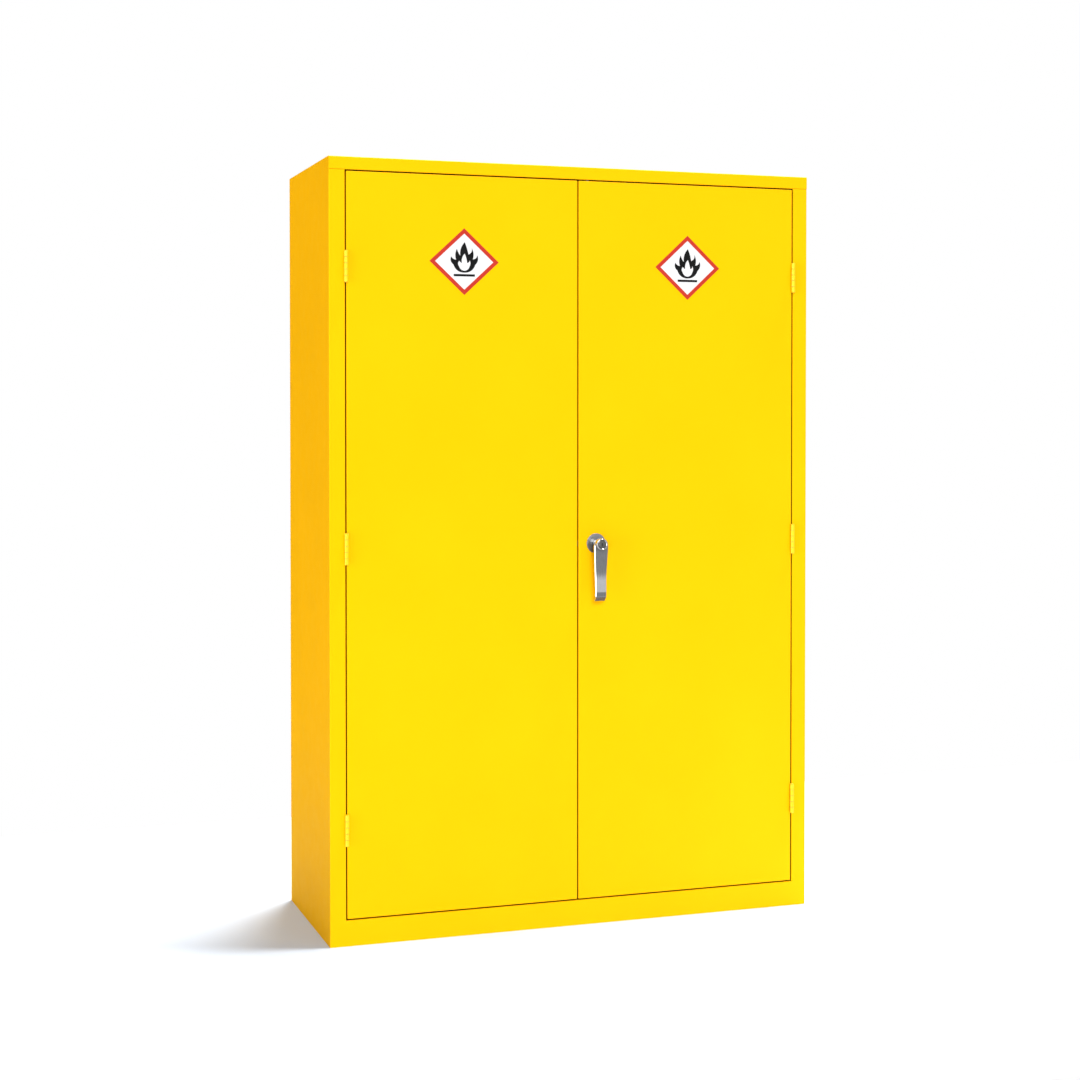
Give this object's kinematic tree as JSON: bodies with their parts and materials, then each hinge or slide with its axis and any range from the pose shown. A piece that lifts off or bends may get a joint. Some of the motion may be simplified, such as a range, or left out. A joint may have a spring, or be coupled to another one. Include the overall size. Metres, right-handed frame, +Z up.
{
  "type": "flammable storage cabinet",
  "caption": "Tall two-door yellow steel cabinet for flammable liquids, with spill-tray shelves, a sump and a quarter-turn handle with lock rods.",
  "frame": {"origin": "centre of the footprint, on the floor", "axes": "+Z up, -Y is the front where the doors are, +X to the right seen from the front"},
  "size_m": [1.22, 0.502, 1.83],
  "materials": {
    "yellow_powder_coat": "semi-gloss powder coat",
    "galvanised_shelf": "galvanised",
    "zinc_steel": "zinc plated",
    "chrome": "polished chrome",
    "plug_metal": "brushed nickel",
    "hazard_vinyl": "glossy vinyl"
  },
  "bodies": {
    "carcass": {"left_side_panel": "yellow_powder_coat", "right_side_panel": "yellow_powder_coat", "top_panel": "yellow_powder_coat", "back_panel": "yellow_powder_coat", "sump_tray": "yellow_powder_coat", "front_sill": "yellow_powder_coat", "upper_keeper_plate": "zinc_steel", "lower_keeper_plate": "zinc_steel", "left_front_upright": "zinc_steel", "left_rear_upright": "zinc_steel", "right_front_upright": "zinc_steel", "right_rear_upright": "zinc_steel", "lower_shelf": "galvanised_shelf", "middle_shelf": "galvanised_shelf", "upper_shelf": "galvanised_shelf", "lower_shelf_clips": "zinc_steel", "middle_shelf_clips": "zinc_steel", "upper_shelf_clips": "zinc_steel", "left_lower_frame_leaf": "yellow_powder_coat", "left_middle_frame_leaf": "yellow_powder_coat", "left_upper_frame_leaf": "yellow_powder_coat", "right_lower_frame_leaf": "yellow_powder_coat", "right_middle_frame_leaf": "yellow_powder_coat", "right_upper_frame_leaf": "yellow_powder_coat", "left_lower_hinge_pin": "yellow_powder_coat", "left_middle_hinge_pin": "yellow_powder_coat", "left_upper_hinge_pin": "yellow_powder_coat", "right_lower_hinge_pin": "yellow_powder_coat", "right_middle_hinge_pin": "yellow_powder_coat", "right_upper_hinge_pin": "yellow_powder_coat"},
    "left_door": {"left_door_panel": "yellow_powder_coat", "left_door_stiffener": "yellow_powder_coat", "left_door_label": "hazard_vinyl", "left_lower_door_leaf": "yellow_powder_coat", "left_middle_door_leaf": "yellow_powder_coat", "left_upper_door_leaf": "yellow_powder_coat"},
    "right_door": {"right_door_panel": "yellow_powder_coat", "right_door_stiffener": "yellow_powder_coat", "right_door_label": "hazard_vinyl", "right_lower_door_leaf": "yellow_powder_coat", "right_middle_door_leaf": "yellow_powder_coat", "right_upper_door_leaf": "yellow_powder_coat", "lock_plate": "zinc_steel", "handle_rose": "chrome", "neck_nut": "zinc_steel", "upper_rod_inner_guide": "zinc_steel", "upper_rod_outer_guide": "zinc_steel", "lower_rod_inner_guide": "zinc_steel", "lower_rod_outer_guide": "zinc_steel"},
    "handle": {"handle_lever": "chrome", "lock_barrel": "chrome", "handle_spindle": "zinc_steel", "lock_cam": "zinc_steel", "cam_washer": "zinc_steel", "cam_screw": "zinc_steel"},
    "key_plug": {"lock_plug": "plug_metal"},
    "upper_rod": {"upper_lock_rod": "zinc_steel"},
    "lower_rod": {"lower_lock_rod": "zinc_steel"}
  },
  "joints": [
    {"name": "left_door_swing", "type": "hinge", "parent": "carcass", "child": "left_door", "pos_m": [-0.5705, -0.2337, 0.924], "axis": [0, 0, -1], "range_deg": [0, 180]},
    {"name": "right_door_swing", "type": "hinge", "parent": "carcass", "child": "right_door", "pos_m": [0.5705, -0.2337, 0.924], "axis": [0, 0, 1], "range_deg": [0, 180]},
    {"name": "handle_turn", "type": "hinge", "parent": "right_door", "child": "handle", "pos_m": [0.046, -0.2285, 0.924], "axis": [0, -1, 0], "range_deg": [0, 90]},
    {"name": "key_plug_turn", "type": "hinge", "parent": "handle", "child": "key_plug", "pos_m": [0.046, -0.2285, 0.924], "axis": [0, -1, 0], "range_deg": [0, 90]},
    {"name": "upper_rod_slide", "type": "slide", "parent": "right_door", "child": "upper_rod", "axis": [0, 0, -1], "range_m": [0, 0.0198]},
    {"name": "lower_rod_slide", "type": "slide", "parent": "right_door", "child": "lower_rod", "axis": [0, 0, 1], "range_m": [0, 0.0198]}
  ],
  "couplings": [
    {"joint": "upper_rod_slide", "follows": "handle_turn", "m_per_rad": 0.012604},
    {"joint": "lower_rod_slide", "follows": "handle_turn", "m_per_rad": 0.012604}
  ]
}
